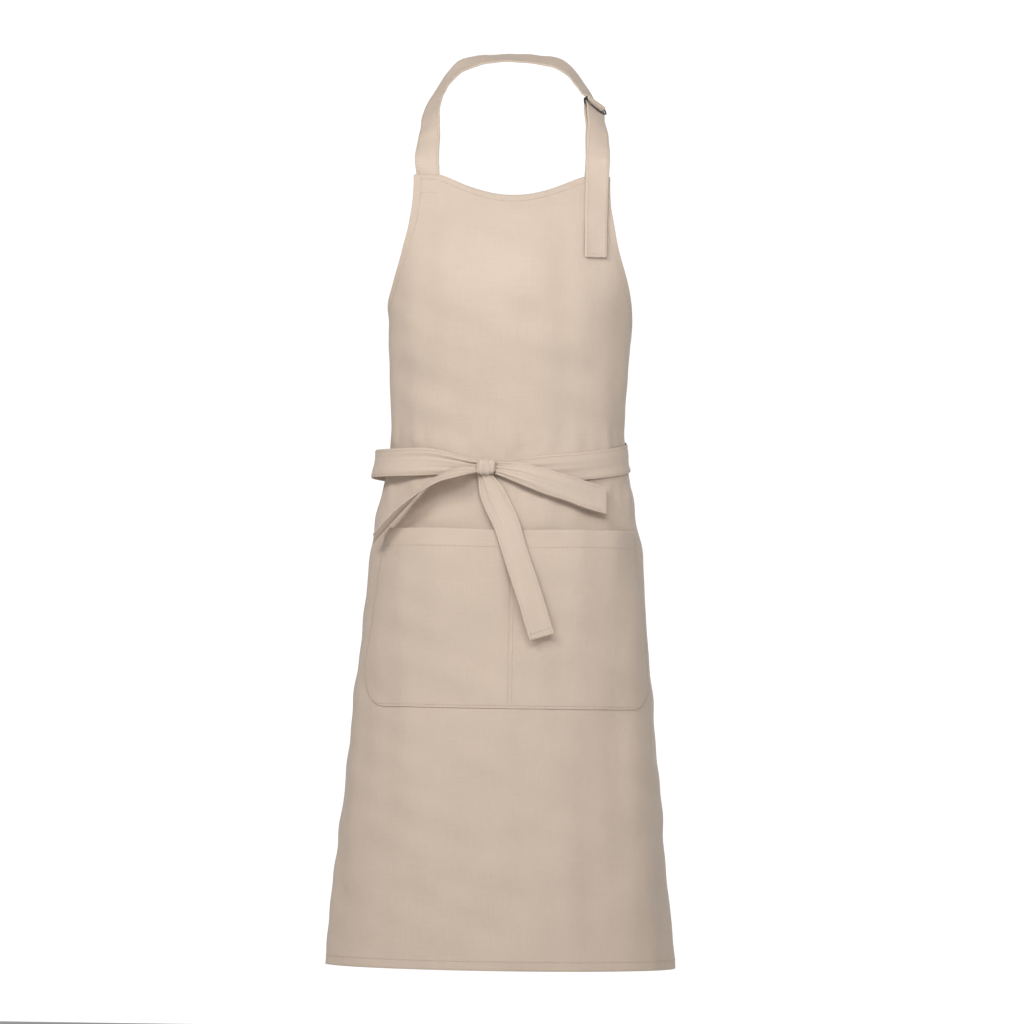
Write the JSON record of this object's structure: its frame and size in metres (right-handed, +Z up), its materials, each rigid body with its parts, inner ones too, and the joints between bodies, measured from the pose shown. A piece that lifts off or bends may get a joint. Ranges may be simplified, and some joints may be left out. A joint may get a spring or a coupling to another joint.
{
  "type": "apron",
  "caption": "Bib apron in its worn shape, with a divided front pocket, a ring-adjusted neck strap and waist ties knotted in front.",
  "frame": {"origin": "where the wearer's nape, or a hook, carries the neck strap: the middle of the strap's underside, at its inner edge", "axes": "+Z up, the apron's face towards -Y, +X towards the wearer's left, which is the right of a front view"},
  "size_m": [0.3913, 0.2138, 1.0301],
  "materials": {
    "apron_cloth": "matte",
    "pocket_cloth": "matte",
    "strap_cloth": "matte",
    "thread": "matte",
    "ring_steel": "satin"
  },
  "bodies": {
    "apron": {"apron_panel": "apron_cloth", "bottom_hem": "apron_cloth", "neckline_facing": "apron_cloth", "neckline_stitches": "thread", "bottom_hem_stitches": "thread", "pocket_panel": "pocket_cloth", "pocket_top_hem": "pocket_cloth", "pocket_divider_stitches": "thread", "pocket_outline_stitches": "thread", "pocket_hem_stitches": "thread", "neck_strap": "strap_cloth", "ring_loop": "strap_cloth", "back_d_ring": "ring_steel", "adjusting_strap": "strap_cloth", "waist_tie_left": "strap_cloth", "waist_tie_right": "strap_cloth", "bow_knot": "strap_cloth", "side_hem_left": "apron_cloth", "armhole_hem_left": "apron_cloth", "strap_stitches_left": "thread", "side_stitches_left": "thread", "armhole_stitches_left": "thread", "side_hem_right": "apron_cloth", "armhole_hem_right": "apron_cloth", "strap_stitches_right": "thread", "side_stitches_right": "thread", "armhole_stitches_right": "thread"},
    "front_ring": {"front_d_ring": "ring_steel"},
    "tail": {"strap_tail": "strap_cloth", "tail_end_stitches": "thread"},
    "loop": {"bow_loop": "strap_cloth"},
    "long_end": {"bow_tail_long": "strap_cloth"},
    "short_end": {"bow_tail_short": "strap_cloth"}
  },
  "joints": [
    {"name": "front_ring_lift", "type": "hinge", "parent": "apron", "child": "front_ring", "pos_m": [0.09241, -0.02888, -0.04492], "axis": [-0.7395, -0.4397, 0.5097], "range_deg": [0, 40]},
    {"name": "strap_tail_lift", "type": "hinge", "parent": "apron", "child": "tail", "pos_m": [0.0961, -0.0797, -0.096], "axis": [-1, 0, 0], "range_deg": [0, 100]},
    {"name": "bow_loop_swing", "type": "hinge", "parent": "apron", "child": "loop", "pos_m": [-0.0137, -0.1405, -0.457], "axis": [0, 0, -1], "range_deg": [0, 45]},
    {"name": "long_end_lift", "type": "hinge", "parent": "apron", "child": "long_end", "pos_m": [-0.0245, -0.1376, -0.4675], "axis": [-1, 0, 0], "range_deg": [0, 60]},
    {"name": "short_end_swing", "type": "hinge", "parent": "apron", "child": "short_end", "pos_m": [-0.0353, -0.1435, -0.456], "axis": [0, 0, 1], "range_deg": [0, 50]}
  ]
}
